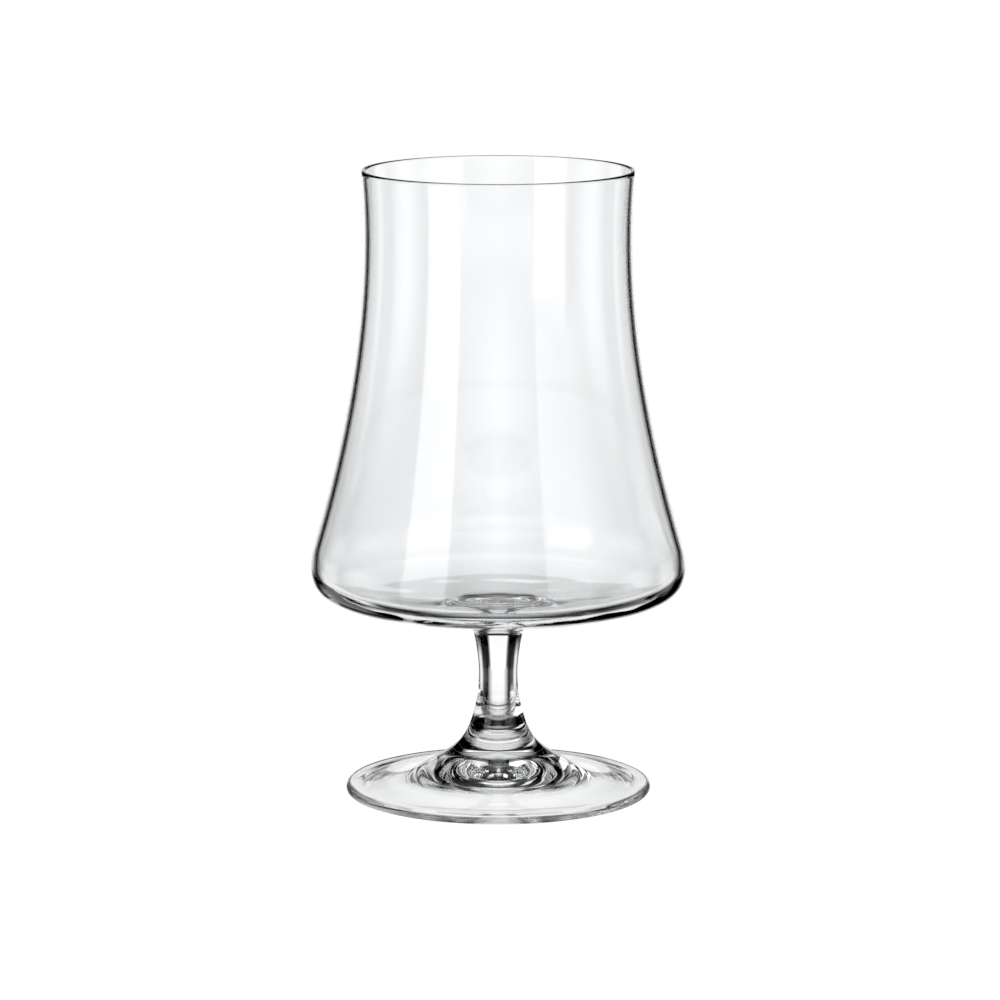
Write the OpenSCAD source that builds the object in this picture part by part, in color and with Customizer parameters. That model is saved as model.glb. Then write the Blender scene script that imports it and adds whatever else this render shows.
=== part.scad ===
// Stemmed beer glass with a waisted bowl, a short drawn stem and a flared foot.
// Three clear glass pieces are welded on one axis: bowl, stem and foot.
// Millimetres, +Z up, origin at the centre of the plane that the foot stands on.

/* [Bowl] */
// Height of the bowl piece, from its weld on the stem to the rim
bowl_h = 111.2; // [90:0.2:140]
// Outer diameter at the rim
rim_d = 64.8; // [56:0.2:74]
// Outer diameter at the narrowest ring, a little below the rim
waist_d = 63.4; // [52:0.2:72]
// Depth of the narrowest ring below the rim
waist_drop = 15.7; // [8:0.1:30]
// Outer diameter at the widest ring
belly_d = 89.5; // [80:0.5:104]
// Height of the widest ring above the stem weld
belly_rise = 16.2; // [12:0.1:24]
// Lean of the flank just above the belly, in degrees from upright
flank_lean = 16.5; // [8:0.5:22]
// Tangent length of the rounding between flank and belly
belly_blend = 2.5; // [1:0.1:6]
// Depth over which the belly turns under
belly_turn = 8.8; // [6:0.1:14]
// Slope of the bowl's underside where it meets the stem, in degrees from level
under_slope = 4; // [2:0.5:20]
// How far out the underside holds that slope
under_reach = 25; // [16:0.5:32]
// Wall at the rim
rim_wall = 1; // [0.7:0.05:2]
// Wall at the belly
belly_wall = 1.45; // [1:0.05:3]
// Height of the bowl's inner floor above the stem weld
floor_rise = 8.2; // [7:0.1:12]
// Depth over which the inner wall turns into the floor
floor_turn = 7.6; // [5:0.1:9]
// How far out the inner floor stays close to level
floor_reach = 31; // [18:0.5:34]

/* [Stem] */
// Length of the stem between its two welds
stem_l = 15.2; // [10:0.1:60]
// Diameter at the stem's narrowest ring
stem_d = 9.3; // [6:0.1:11]
// Height of that ring above the foot weld
stem_waist_rise = 5.5; // [3:0.1:8]
// Diameter of the weld between stem and bowl
bowl_weld_d = 11.8; // [11.2:0.1:18]
// Flare of the stem at the bowl weld, in degrees from upright
stem_flare = 13; // [8:0.5:30]
// Fillet between the stem and the bowl's underside
weld_fillet = 5; // [3:0.1:7]

/* [Foot] */
// Height of the foot piece, from the table to its weld on the stem
foot_h = 23.6; // [20:0.1:34]
// Outer diameter of the foot
foot_d = 73.2; // [60:0.2:90]
// Thickness of the foot at its edge
edge_t = 2.5; // [1.8:0.1:4]
// Width of the edge's rounding
edge_round = 1.25; // [0.6:0.05:2]
// Diameter of the weld between foot and stem
foot_weld_d = 9.8; // [9.4:0.1:14]
// Flare of the neck at that weld, in degrees from upright
neck_flare = 12; // [4:0.5:18]
// Diameter where the neck opens into the disc
flare_d = 26; // [20:0.5:34]
// Height at which the neck opens into the disc
flare_h = 9.25; // [6:0.05:13]
// Slope of the foot there, in degrees from level
flare_slope = 32.5; // [20:0.5:45]
// Width of the flat ring that the foot stands on
rest_w = 2.35; // [1.5:0.05:8]
// Height of the hollow under the middle of the foot
hollow_h = 7; // [2:0.1:8]
// Bow of the hollow's side, from 1 for a cone to 2 for a dome
hollow_bow = 1.15; // [1:0.05:2]

/* [Hidden] */
$fn = 96;
glass_tint = [0.86, 0.92, 0.92, 0.35];

// Points on each curved stretch, and on each rounded edge
curve_steps = 12;
edge_steps = 6;

// Share of the tangent length that a handle takes on a plain rounded corner
corner_pull = 0.6;
// Share that makes a cubic of a parabola
parabola_pull = 2 / 3;
// Handle of the long side curve, as a share of its height
side_pull = 0.33;
// Handles of the neck and of the disc, as shares of their height and width
neck_top_pull = 0.56;
neck_foot_pull = 0.61;
disc_top_pull = 0.3;
disc_edge_pull = 0.5;

// Heights above the table
foot_weld_z = foot_h;
bowl_weld_z = foot_weld_z + stem_l;
rim_z = bowl_weld_z + bowl_h;
waist_z = rim_z - waist_drop;
belly_z = bowl_weld_z + belly_rise;
floor_z = bowl_weld_z + floor_rise;
stem_waist_z = foot_weld_z + stem_waist_rise;

// Corners that the outlines share, each as radius and height
rim_outer = [rim_d / 2, rim_z - rim_wall / 2];
waist = [waist_d / 2, waist_z];
belly = [belly_d / 2, belly_z];
bowl_weld = [bowl_weld_d / 2, bowl_weld_z];
foot_weld = [foot_weld_d / 2, foot_weld_z];

// One point, and one direction, on a cubic curve with four control points
function on_cubic(c, t) =
    pow(1 - t, 3) * c[0] + 3 * t * pow(1 - t, 2) * c[1]
    + 3 * t * t * (1 - t) * c[2] + pow(t, 3) * c[3];
function along_cubic(c, t) =
    pow(1 - t, 2) * (c[1] - c[0]) + 2 * t * (1 - t) * (c[2] - c[1]) + t * t * (c[3] - c[2]);

// A curve's points after its start, so that stretches join without doubled points
function cubic(c) = [for (i = [1 : curve_steps]) on_cubic(c, i / curve_steps)];

// A rounded corner from one point to another, with its sharp corner between them
function corner(from, sharp, to, pull) =
    [from, from + pull * (sharp - from), to + pull * (sharp - to), to];

// Outer wall of the bowl, downwards, as three curves
side_end = [belly[0] - belly_blend * tan(flank_lean), belly_z + 2 * belly_blend];
side_pull_h = side_pull * (waist_z - side_end[1]);
lip_curve = corner(rim_outer, [waist[0], (rim_outer[1] + waist_z) / 2], waist, parabola_pull);
side_curve = [
    waist,
    waist - [0, side_pull_h],
    side_end + side_pull_h * [-tan(flank_lean), 1],
    side_end
];
belly_curve = corner(side_end, belly + [0, belly_blend], belly, corner_pull);
wall_curves = [lip_curve, side_curve, belly_curve];

// Underside of the bowl, from the belly to the fillet on the stem
under_dir = [cos(under_slope), sin(under_slope)];
fillet_sharp = bowl_weld + weld_fillet * [tan(stem_flare), 1];
fillet_start = fillet_sharp + weld_fillet * under_dir;
under_curve = [
    belly,
    belly - [0, belly_turn],
    fillet_start + under_reach * under_dir,
    fillet_start
];
fillet_curve = corner(fillet_start, fillet_sharp, bowl_weld, corner_pull);

// The wall thickens evenly from the rim to the belly
function wall_at(z) =
    belly_wall + (rim_wall - belly_wall) * (z - belly_z) / (rim_outer[1] - belly_z);

// Inner face of one stretch of the wall, upwards, set in along the wall's normal
function inner_face(c) = [
    for (i = [curve_steps : -1 : 1])
        let (
            p = on_cubic(c, i / curve_steps),
            d = along_cubic(c, i / curve_steps)
        )
        p + wall_at(p[1]) * [d[1], -d[0]] / norm(d)
];

// Inner floor of the bowl, from the middle out to the belly
belly_inner = belly - [belly_wall, 0];
floor_curve = [
    [0, floor_z],
    [floor_reach, floor_z],
    belly_inner - [0, floor_turn],
    belly_inner
];

// Half round of the rim, from its inside over the top to its outside
rim_round = [
    for (i = [0 : edge_steps])
        rim_outer - [rim_wall / 2, 0]
        + rim_wall / 2 * [-cos(180 * i / edge_steps), sin(180 * i / edge_steps)]
];

bowl_outline = concat(
    rim_round,
    cubic(lip_curve), cubic(side_curve), cubic(belly_curve),
    cubic(under_curve), cubic(fillet_curve),
    [[0, bowl_weld_z], [0, floor_z]],
    cubic(floor_curve),
    [for (k = [2 : -1 : 0]) let (face = inner_face(wall_curves[k]))
        for (i = [(k == 2 ? 1 : 0) : curve_steps - 1]) face[i]]
);

// Stem, from the bowl weld down to its narrowest ring and out again to the foot weld
stem_waist = [stem_d / 2, stem_waist_z];
stem_top_curve = corner(
    bowl_weld,
    [stem_waist[0], bowl_weld_z - (bowl_weld[0] - stem_waist[0]) / tan(stem_flare)],
    stem_waist,
    corner_pull
);
stem_low_curve = corner(
    stem_waist,
    [stem_waist[0], (stem_waist_z + foot_weld_z) / 2],
    foot_weld,
    parabola_pull
);
stem_outline = concat(
    [[0, foot_weld_z], [0, bowl_weld_z], bowl_weld],
    cubic(stem_top_curve),
    cubic(stem_low_curve)
);

// Foot, from the neck's weld out over the disc, round the edge and in to the hollow
flare = [flare_d / 2, flare_h];
edge_top = [foot_d / 2 - edge_round, edge_t];
neck_pull_h = neck_top_pull * (foot_weld_z - flare_h);
neck_pull_w = neck_foot_pull * (flare[0] - foot_weld[0]);
disc_w = edge_top[0] - flare[0];
neck_curve = [
    foot_weld,
    foot_weld + neck_pull_h * [tan(neck_flare), -1],
    flare + neck_pull_w * [-1, tan(flare_slope)],
    flare
];
disc_curve = [
    flare,
    flare + disc_top_pull * disc_w * [1, -tan(flare_slope)],
    edge_top - disc_edge_pull * [disc_w, 0],
    edge_top
];
edge_arc = [
    for (i = [1 : 2 * edge_steps])
        let (a = 90 - 90 * i / edge_steps)
        [edge_top[0] + edge_round * cos(a), edge_t / 2 * (1 + sin(a))]
];
hollow_r = edge_top[0] - rest_w;
hollow_arc = [
    for (i = [0 : curve_steps])
        let (share = 1 - i / curve_steps)
        [hollow_r * share, hollow_h * (1 - pow(share, hollow_bow))]
];
foot_outline = concat(
    [[0, foot_weld_z], foot_weld],
    cubic(neck_curve), cubic(disc_curve),
    edge_arc,
    hollow_arc
);

// Blown bowl with its fire-polished rim
module bowl() {
    color(glass_tint) rotate_extrude() polygon(bowl_outline);
}

// Solid drawn stem
module stem() {
    color(glass_tint) rotate_extrude() polygon(stem_outline);
}

// Pressed foot with its neck
module foot() {
    color(glass_tint) rotate_extrude() polygon(foot_outline);
}

bowl();
stem();
foot();
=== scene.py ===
import math
import bpy
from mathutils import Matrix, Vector


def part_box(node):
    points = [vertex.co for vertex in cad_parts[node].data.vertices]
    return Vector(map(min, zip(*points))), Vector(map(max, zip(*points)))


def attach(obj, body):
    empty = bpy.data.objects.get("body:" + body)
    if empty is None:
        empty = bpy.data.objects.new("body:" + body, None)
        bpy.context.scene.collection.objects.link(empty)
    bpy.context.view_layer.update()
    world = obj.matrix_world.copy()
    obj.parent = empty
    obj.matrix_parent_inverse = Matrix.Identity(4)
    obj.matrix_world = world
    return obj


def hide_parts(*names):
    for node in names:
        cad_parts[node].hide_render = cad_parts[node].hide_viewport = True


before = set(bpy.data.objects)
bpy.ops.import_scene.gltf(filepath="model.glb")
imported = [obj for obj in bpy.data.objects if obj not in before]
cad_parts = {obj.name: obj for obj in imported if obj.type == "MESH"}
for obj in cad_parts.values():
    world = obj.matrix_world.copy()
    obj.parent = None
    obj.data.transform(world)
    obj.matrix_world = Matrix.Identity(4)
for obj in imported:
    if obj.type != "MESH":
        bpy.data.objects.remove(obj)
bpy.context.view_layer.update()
scene = bpy.context.scene
mm = 0.001
print("frame loaded with", ", ".join(sorted(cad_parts)))


# the camera stands in front of the glass and looks a little down on it
cameraSetup = {
    "place": (0.43 * mm, -1175.9 * mm, 276.5 * mm),
    "pitchDegrees": 80.08,
    "lensMm": 180.19,
    "sensorMm": 36.0,
    "reach": 20,
}


def placeCamera(c):
    bpy.ops.object.camera_add(location=c["place"], rotation=(math.radians(c["pitchDegrees"]), 0, 0))
    camera = bpy.context.object
    camera.data.sensor_width = c["sensorMm"]
    camera.data.lens = c["lensMm"]
    camera.data.clip_end = c["reach"]
    scene.camera = camera


placeCamera(cameraSetup)
print("camera placed")


# a socket, or a whole node tree while it has none, that takes part in shader maths
class Wire:
    def __init__(self, tree, socket=None):
        self.tree = tree
        self.socket = socket

    # adds a node: its settings come first, then the values and links of its sockets
    def make(self, kind, settings=None, inputs=None, out=0):
        node = self.tree.nodes.new(kind)
        for key, value in (settings or {}).items():
            setattr(node, key, value)
        for key, value in (inputs or {}).items():
            if isinstance(value, Wire):
                self.tree.links.new(value.socket, node.inputs[key])
            else:
                node.inputs[key].default_value = value
        return Wire(self.tree, node.outputs[out] if len(node.outputs) else None)

    # another output of the same node
    def pick(self, name):
        return Wire(self.tree, self.socket.node.outputs[name])

    def maths(self, operation, *values):
        return self.make("ShaderNodeMath", {"operation": operation}, dict(enumerate(values)))

    def __add__(self, other):
        return self.maths("ADD", self, other)

    def __radd__(self, other):
        return self.maths("ADD", other, self)

    def __sub__(self, other):
        return self.maths("SUBTRACT", self, other)

    def __rsub__(self, other):
        return self.maths("SUBTRACT", other, self)

    def __mul__(self, other):
        return self.maths("MULTIPLY", self, other)

    def __rmul__(self, other):
        return self.maths("MULTIPLY", other, self)

    def atLeast(self, other):
        return self.maths("MAXIMUM", self, other)

    # runs from 0 at one value to 1 at another, and stays there
    def ramp(self, start, end):
        return self.make(
            "ShaderNodeMapRange",
            {"clamp": True},
            {"Value": self, "From Min": start, "From Max": end},
        )


# empties the nodes of a material or a world
def newTree(owner):
    owner.use_nodes = True
    owner.node_tree.nodes.clear()
    return Wire(owner.node_tree)


# the studio: soft white panels round the glass, dark between them; all angles are in degrees
# turn is a panel's middle, from straight behind the glass to the right, and half is half its width
# low and high are its lower and upper edges, and level is its strength, where 1 is white
# soft, far, fade and lift soften its left, right, lower and upper edges
# without a far the right edge is as soft as the left, and without a fade the lower as the upper
studio = {
    "back": {
        "turn": 0, "half": 16, "soft": 3.5,
        "low": -10.8, "high": 7.6, "fade": 2, "lift": 0.6, "level": 1.03,
    },
    "glowLeft": {
        "turn": -12.5, "half": 3.5, "soft": 2.5,
        "low": -10.8, "high": 7.2, "fade": 2, "lift": 0.6, "level": 1.3,
    },
    "glowRight": {
        "turn": 12.5, "half": 3.5, "soft": 2.5,
        "low": -10.8, "high": 7.2, "fade": 2, "lift": 0.6, "level": 1.3,
    },
    "backSweep": {
        "turn": 0, "half": 17, "soft": 6,
        "low": -31, "high": -8, "fade": 3, "lift": 1, "level": 1.03,
    },
    "backTable": {
        "turn": 0, "half": 14, "soft": 6,
        "low": -46, "high": -29, "fade": 5, "lift": 2, "level": 0.95,
    },
    "riser": {
        "turn": 0, "half": 16, "soft": 6,
        "low": 11.2, "high": 38, "fade": 0.6, "lift": 3, "level": 0.6,
    },
    "topBack": {
        "turn": 0, "half": 22, "soft": 8,
        "low": 38, "high": 68, "lift": 4, "level": 0.85,
    },
    "backLeft": {
        "turn": -52, "half": 10, "soft": 4,
        "low": -22, "high": 2, "lift": 4, "level": 0.9,
    },
    "backRight": {
        "turn": 52, "half": 10, "soft": 4,
        "low": -22, "high": 2, "lift": 4, "level": 0.9,
    },
    "tableCard": {
        "turn": -45, "half": 15, "soft": 4,
        "low": -46, "high": -18, "lift": 3, "level": 1.0,
    },
    "left": {
        "turn": -90, "half": 14, "soft": 8,
        "low": -20, "high": 6, "lift": 4, "level": 0.95,
    },
    "right": {
        "turn": 90, "half": 14, "soft": 8,
        "low": -20, "high": 6, "lift": 4, "level": 0.95,
    },
    "frontTable": {
        "turn": 180, "half": 42, "soft": 15,
        "low": -40, "high": -7, "lift": 4, "level": 0.95,
    },
    "front": {
        "turn": 180, "half": 14, "soft": 12,
        "low": -2, "high": 28, "lift": 10, "level": 1.05,
    },
    "leftBox": {
        "turn": -132.5, "half": 15, "soft": 0.8,
        "low": -20, "high": 36, "lift": 3, "level": 1.7,
    },
    "rightBox": {
        "turn": 128, "half": 21, "soft": 14, "far": 0.8,
        "low": -2, "high": 31, "fade": 3, "lift": 9, "level": 1.0,
    },
    "rightLow": {
        "turn": 135, "half": 17, "soft": 3,
        "low": -30, "high": -1, "fade": 4, "lift": 2, "level": 1.0,
    },
    "under": {
        "turn": 0, "half": 60, "soft": 20,
        "low": -100, "high": -66, "lift": 6, "level": 0.35,
    },
}
# light meets many faces on its way through clear glass
bounces = {"all": 32, "glossy": 24, "transmission": 32, "transparent": 32}


def buildWorld(panels):
    world = bpy.data.worlds.new("studio")
    scene.world = world
    tree = newTree(world)
    away = tree.make("ShaderNodeTexCoord", out="Generated")
    axes = tree.make("ShaderNodeSeparateXYZ", None, {0: away})
    inDegrees = math.degrees(1)
    turn = tree.maths("ARCTAN2", axes.pick("X"), axes.pick("Y")) * inDegrees
    height = tree.maths("ARCSINE", axes.pick("Z")) * inDegrees
    level = None
    for p in panels.values():
        half, soft, low, high, lift = [p[key] for key in ("half", "soft", "low", "high", "lift")]
        far = p.get("far", soft)
        fade = p.get("fade", lift)
        aside = tree.maths("WRAP", turn - p["turn"], 180.0, -180.0)
        wide = aside.ramp(-half - soft, soft - half) * aside.ramp(half + far, half - far)
        tall = height.ramp(low - fade, low + fade) * height.ramp(high + lift, high - lift)
        shine = wide * tall * p["level"]
        level = shine if level is None else level.atLeast(shine)
    seen = tree.make("ShaderNodeLightPath", out="Is Camera Ray")
    level = seen + (1 - seen) * level  # the camera itself sees plain white
    light = tree.make("ShaderNodeBackground", None, {"Color": (1, 1, 1, 1), "Strength": level})
    tree.make("ShaderNodeOutputWorld", None, {"Surface": light})


buildWorld(studio)
scene.view_settings.view_transform = "Standard"
scene.cycles.max_bounces = bounces["all"]
scene.cycles.glossy_bounces = bounces["glossy"]
scene.cycles.transmission_bounces = bounces["transmission"]
scene.cycles.transparent_max_bounces = bounces["transparent"]
print("studio lit")


# pale table top, which takes the glass's soft shadow and is clear to light that the glass sends on
table = {
    "radius": 800 * mm,
    "sides": 96,
    "drop": 0.05 * mm,  # a hair below the foot
    "ownLight": 0.96,
    "matte": (0.405, 0.405, 0.405, 1),  # the part of its white that a shadow can take away
}


def buildTable(t):
    bpy.ops.object.select_all(action="DESELECT")
    bpy.ops.mesh.primitive_circle_add(
        vertices=t["sides"], radius=t["radius"], fill_type="NGON", location=(0, 0, -t["drop"])
    )
    top = bpy.context.object
    top.name = "tableTop"
    bpy.ops.object.transform_apply(location=True, rotation=True, scale=True)
    finish = bpy.data.materials.new("tableWhite")
    tree = newTree(finish)
    path = tree.make("ShaderNodeLightPath")
    glow = tree.make("ShaderNodeEmission", None, {"Color": (1, 1, 1, 1), "Strength": t["ownLight"]})
    matte = tree.make("ShaderNodeBsdfDiffuse", None, {"Color": t["matte"]})
    lit = tree.make("ShaderNodeAddShader", None, {0: glow, 1: matte})
    clear = tree.make("ShaderNodeBsdfTransparent")
    fromGlass = path.pick("Is Transmission Ray").atLeast(path.pick("Is Glossy Ray"))
    mixed = tree.make("ShaderNodeMixShader", None, {"Fac": fromGlass, 1: lit, 2: clear})
    tree.make("ShaderNodeOutputMaterial", None, {"Surface": mixed})
    top.data.materials.append(finish)


buildTable(table)
print("table laid")


# clear glass with a faint tint, a thin film and the ripple that its making leaves
glass = {
    "bend": 1.52,
    "rippleDetail": 1.0,
    "filmDetail": 4.0,
    "filmFrom": 0.45,  # noise at which the film begins, and at which it is full
    "filmTo": 0.75,
}


def clearGlass(name, g):
    finish = bpy.data.materials.new(name)
    tree = newTree(finish)
    place = tree.make("ShaderNodeTexCoord", out="Object")
    stretched = tree.make("ShaderNodeMapping", None, {"Vector": place, "Scale": g["rippleStretch"]})
    ripple = tree.make(
        "ShaderNodeTexNoise",
        None,
        {"Vector": stretched, "Scale": g["rippleScale"], "Detail": glass["rippleDetail"]},
    )
    height = tree.make("ShaderNodeSeparateXYZ", None, {0: place}).pick("Z")
    swell = 1 + height.ramp(g["calmAbove"], g["unevenBelow"]) * g["rippleGain"]
    bump = tree.make(
        "ShaderNodeBump",
        None,
        {"Strength": 1.0, "Distance": g["rippleHeight"], "Height": ripple * swell},
    )
    film = tree.make(
        "ShaderNodeTexNoise",
        None,
        {"Vector": place, "Scale": g["filmScale"], "Detail": glass["filmDetail"]},
    )
    tint = tree.make(
        "ShaderNodeMix",
        {"data_type": "RGBA"},
        {0: film, "A": g["tint"], "B": g["tintDeep"]},
        out="Result",
    )
    shader = tree.make(
        "ShaderNodeBsdfPrincipled",
        None,
        {
            "Base Color": tint,
            "Roughness": film.ramp(glass["filmFrom"], glass["filmTo"]) * g["filmRough"],
            "IOR": glass["bend"],
            "Transmission Weight": 1.0,
            "Normal": bump,
        },
    )
    tree.make("ShaderNodeOutputMaterial", None, {"Surface": shader})
    return finish


# the fused face inside a weld, which light passes as if it weren't there
def fusedFace():
    finish = bpy.data.materials.new("fusedWeld")
    tree = newTree(finish)
    shader = tree.make("ShaderNodeBsdfPrincipled", None, {"Alpha": 0.0})
    tree.make("ShaderNodeOutputMaterial", None, {"Surface": shader})
    return finish


weldFinish = fusedFace()


# how far a curve's handles reach to a sharp corner: on a plain rounding, and on a parabola
cornerPull = 0.6
parabolaPull = 2 / 3


# points along a cubic curve after its start, as radius and height
def cubic(points, steps):
    a, b, c, d = points
    made = []
    for i in range(1, steps + 1):
        t = i / steps
        u = 1 - t
        made.append(u**3 * a + 3 * t * u * u * b + 3 * t * t * u * c + t**3 * d)
    return made


# the same points from the curve's end back to its start, without the end
def cubicBack(points, steps):
    return cubic(points[::-1], steps)


# control points of a rounded corner from one point to another, with the sharp corner between them
def rounding(start, sharp, end, pull):
    return [start, start + pull * (sharp - start), end + pull * (sharp - end), end]


def tangent(degrees):
    return math.tan(math.radians(degrees))


# how an outline becomes a piece
spinning = {
    "seed": 1 * mm,  # the small plane that shrinks to the first vertex
    "mergeWithin": 0.0005 * mm,
    "weldWithin": 0.001 * mm,
    "smoothBelow": 40,  # degrees between faces
}


# draws an outline vertex by vertex in edit mode and spins it round the upright axis
def spinOutline(name, outline, segments, welds, finish, node):
    bpy.ops.object.select_all(action="DESELECT")
    first = outline[0]
    bpy.ops.mesh.primitive_plane_add(size=spinning["seed"], location=(first.x, 0, first.y))
    piece = bpy.context.object
    piece.name = name
    bpy.ops.object.transform_apply(location=True, rotation=True, scale=True)
    bpy.ops.object.mode_set(mode="EDIT")
    bpy.ops.mesh.select_all(action="SELECT")
    bpy.ops.mesh.merge(type="COLLAPSE")
    for here, there in zip(outline, outline[1:]):
        step = there - here
        bpy.ops.mesh.extrude_region_move(TRANSFORM_OT_translate={"value": (step.x, 0, step.y)})
    bpy.ops.mesh.select_all(action="SELECT")
    bpy.ops.mesh.spin(steps=segments, angle=2 * math.pi, center=(0, 0, 0), axis=(0, 0, 1))
    bpy.ops.mesh.select_all(action="SELECT")
    bpy.ops.mesh.remove_doubles(threshold=spinning["mergeWithin"])
    bpy.ops.mesh.normals_make_consistent(inside=False)
    bpy.ops.object.mode_set(mode="OBJECT")
    bpy.ops.object.shade_smooth_by_angle(angle=math.radians(spinning["smoothBelow"]))
    piece.data.materials.append(finish)
    piece.data.materials.append(weldFinish)
    for face in piece.data.polygons:
        if any(abs(face.center.z - z) < spinning["weldWithin"] for z in welds):
            face.material_index = 1  # the fused face
    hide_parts(node)
    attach(piece, "root")
    print(name, "spun with", len(piece.data.polygons), "faces")


bowlLow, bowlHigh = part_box("bowl")
stemLow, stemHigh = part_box("stem")
footLow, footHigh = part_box("foot")


# blown bowl: rim, waist, long flank, low belly, shallow underside and a thick floor
bowl = {
    "rimRadius": 32.4 * mm,
    "waistRadius": 31.7 * mm,
    "waistDrop": 15.7 * mm,
    "bellyRise": 16.2 * mm,
    "flankLean": 16.5,
    "flankPull": 0.33,
    "bellyBlend": 2.5 * mm,
    "bellyTurn": 8.8 * mm,
    "underSlope": 4,
    "underReach": 25 * mm,
    "stemFlare": 13,
    "weldFillet": 5 * mm,
    "rimWall": 1.0 * mm,
    "bellyWall": 1.45 * mm,
    "floorRise": 8.2 * mm,
    "floorTurn": 7.6 * mm,
    "floorReach": 31 * mm,
    "steps": {"rim": 10, "lip": 20, "flank": 80, "belly": 14, "under": 50, "fillet": 10, "floor": 70},
    "segments": 256,
    "tint": (0.985, 0.99, 0.994, 1),
    "tintDeep": (0.97, 0.979, 0.986, 1),
    "rippleScale": 40,
    "rippleStretch": (1, 1, 0.35),
    "rippleHeight": 0.004 * mm,
    "calmAbove": 52 * mm,
    "unevenBelow": 48 * mm,
    "rippleGain": 80,
    "filmScale": 90,
    "filmRough": 0.01,
}


def buildBowl(b):
    steps = b["steps"]
    rimZ, weldZ = bowlHigh.z, bowlLow.z
    rim = Vector((b["rimRadius"], rimZ - b["rimWall"] / 2))
    waist = Vector((b["waistRadius"], rimZ - b["waistDrop"]))
    belly = Vector(((bowlHigh.x - bowlLow.x) / 2, weldZ + b["bellyRise"]))
    weld = Vector(((stemHigh.x - stemLow.x) / 2, weldZ))

    # outer wall from the rim to the belly
    lean = tangent(b["flankLean"])
    flankEnd = belly + Vector((-b["bellyBlend"] * lean, 2 * b["bellyBlend"]))
    reach = b["flankPull"] * (waist.y - flankEnd.y)
    lip = rounding(rim, Vector((waist.x, (rim.y + waist.y) / 2)), waist, parabolaPull)
    flank = [waist, waist - Vector((0, reach)), flankEnd + reach * Vector((-lean, 1)), flankEnd]
    blend = rounding(flankEnd, belly + Vector((0, b["bellyBlend"])), belly, cornerPull)
    outer = [rim] + cubic(lip, steps["lip"])
    outer += cubic(flank, steps["flank"])
    outer += cubic(blend, steps["belly"])

    # underside from the belly to the fillet on the stem
    slope = math.radians(b["underSlope"])
    underWay = Vector((math.cos(slope), math.sin(slope)))
    sharp = weld + b["weldFillet"] * Vector((tangent(b["stemFlare"]), 1))
    filletStart = sharp + b["weldFillet"] * underWay
    underFlat = filletStart + b["underReach"] * underWay
    under = [belly, belly - Vector((0, b["bellyTurn"])), underFlat, filletStart]
    fillet = rounding(filletStart, sharp, weld, cornerPull)

    # inner wall, set in along the outer wall's normal, and the floor
    inner = []
    for before, here, after in zip([outer[0]] + outer, outer, outer[1:] + [outer[-1]]):
        way = (after - before).normalized()
        rise = (here.y - belly.y) / (rim.y - belly.y)
        wall = b["bellyWall"] + (b["rimWall"] - b["bellyWall"]) * rise
        inner.append(here + wall * Vector((way.y, -way.x)))
    inner[0] = rim - Vector((b["rimWall"], 0))
    inner[-1] = belly - Vector((b["bellyWall"], 0))
    floorMid = Vector((0, weldZ + b["floorRise"]))
    floorFlat = floorMid + Vector((b["floorReach"], 0))
    floor = [inner[-1], inner[-1] - Vector((0, b["floorTurn"])), floorFlat, floorMid]

    # half round of the rim, from its outside over the top
    rimHalf = b["rimWall"] / 2
    rimRound = []
    for i in range(steps["rim"] + 1):
        turn = math.pi * i / steps["rim"]
        rimRound.append(rim + rimHalf * Vector((math.cos(turn) - 1, math.sin(turn))))

    outline = [Vector((0, weldZ)), weld]
    outline += cubicBack(fillet, steps["fillet"])
    outline += cubicBack(under, steps["under"])
    outline += reversed(outer[1:-1])
    outline += rimRound
    outline += inner[1:]
    outline += cubic(floor, steps["floor"])
    finish = clearGlass("bowlGlass", b)
    spinOutline("bowlClear", outline, b["segments"], [weldZ], finish, "bowl")


buildBowl(bowl)


# drawn stem: solid glass, narrowest a little above the foot's neck
stem = {
    "waistRadius": 4.65 * mm,
    "waistRise": 5.5 * mm,
    "footWeldRadius": 4.9 * mm,
    "flare": 13,
    "steps": {"lower": 24, "upper": 40},
    "segments": 192,
    "tint": (0.985, 0.99, 0.994, 1),
    "tintDeep": (0.975, 0.982, 0.988, 1),
    "rippleScale": 120,
    "rippleStretch": (1, 1, 0.2),
    "rippleHeight": 0.002 * mm,
    "calmAbove": 30 * mm,
    "unevenBelow": 24 * mm,
    "rippleGain": 1,
    "filmScale": 150,
    "filmRough": 0.006,
}


def buildStem(s):
    steps = s["steps"]
    top = Vector(((stemHigh.x - stemLow.x) / 2, stemHigh.z))
    low = Vector((s["footWeldRadius"], stemLow.z))
    waist = Vector((s["waistRadius"], stemLow.z + s["waistRise"]))
    flareEnd = Vector((waist.x, top.y - (top.x - waist.x) / tangent(s["flare"])))
    upper = rounding(top, flareEnd, waist, cornerPull)
    lower = rounding(waist, Vector((waist.x, (waist.y + low.y) / 2)), low, parabolaPull)
    outline = [Vector((0, low.y)), low]
    outline += cubicBack(lower, steps["lower"])
    outline += cubicBack(upper, steps["upper"])
    outline.append(Vector((0, top.y)))
    finish = clearGlass("stemGlass", s)
    spinOutline("stemClear", outline, s["segments"], [top.y, low.y], finish, "stem")


buildStem(stem)


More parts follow.
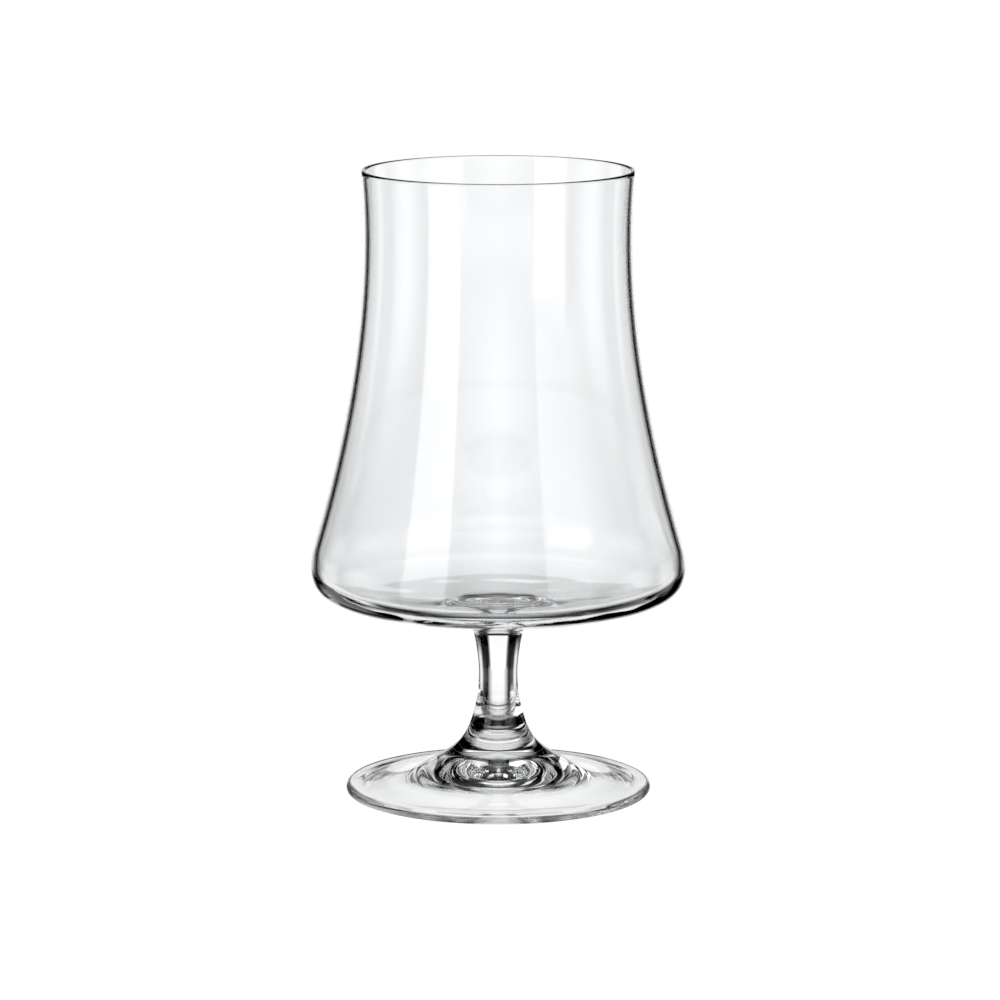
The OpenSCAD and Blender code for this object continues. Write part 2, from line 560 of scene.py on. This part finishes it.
# pressed foot: neck, flare, thin disc with a round edge, and a hollow underside
foot = {
    "weldRadius": 4.9 * mm,
    "neckFlare": 12,
    "neckTopPull": 0.56,
    "neckFootPull": 0.61,
    "flareRadius": 13 * mm,
    "flareHeight": 9.25 * mm,
    "flareSlope": 32.5,
    "discTopPull": 0.3,
    "discEdgePull": 0.5,
    "edgeThick": 2.5 * mm,
    "edgeRound": 1.25 * mm,
    "restWidth": 2.35 * mm,
    "hollow": 7 * mm,
    "hollowBow": 1.15,
    "steps": {"neck": 60, "disc": 60, "edge": 24, "hollow": 60},
    "segments": 256,
    "tint": (0.982, 0.988, 0.993, 1),
    "tintDeep": (0.965, 0.976, 0.984, 1),
    "rippleScale": 70,
    "rippleStretch": (1, 1, 1),
    "rippleHeight": 0.01 * mm,
    "calmAbove": 10 * mm,
    "unevenBelow": 5 * mm,
    "rippleGain": 12,
    "filmScale": 110,
    "filmRough": 0.008,
}


def buildFoot(f):
    steps = f["steps"]
    radius = (footHigh.x - footLow.x) / 2
    weld = Vector((f["weldRadius"], footHigh.z))
    flare = Vector((f["flareRadius"], f["flareHeight"]))
    edge = Vector((radius - f["edgeRound"], f["edgeThick"]))
    slope = tangent(f["flareSlope"])
    neckDrop = f["neckTopPull"] * (weld.y - flare.y)
    neckOut = f["neckFootPull"] * (flare.x - weld.x)
    discWidth = edge.x - flare.x
    neck = [
        weld,
        weld + neckDrop * Vector((tangent(f["neckFlare"]), -1)),
        flare + neckOut * Vector((-1, slope)),
        flare,
    ]
    disc = [
        flare,
        flare + f["discTopPull"] * discWidth * Vector((1, -slope)),
        edge - f["discEdgePull"] * Vector((discWidth, 0)),
        edge,
    ]
    outline = [Vector((0, weld.y)), weld]
    outline += cubic(neck, steps["neck"])
    outline += cubic(disc, steps["disc"])

    # round the edge down to the table, and over the rest ring up into the hollow
    for i in range(1, steps["edge"] + 1):
        turn = math.pi / 2 - math.pi * i / steps["edge"]
        across = edge.x + f["edgeRound"] * math.cos(turn)
        outline.append(Vector((across, f["edgeThick"] / 2 * (1 + math.sin(turn)))))
    for i in range(steps["hollow"], -1, -1):
        share = i / steps["hollow"]
        across = share * (edge.x - f["restWidth"])
        outline.append(Vector((across, f["hollow"] * (1 - share ** f["hollowBow"]))))
    finish = clearGlass("footGlass", f)
    spinOutline("footClear", outline, f["segments"], [weld.y], finish, "foot")


buildFoot(foot)
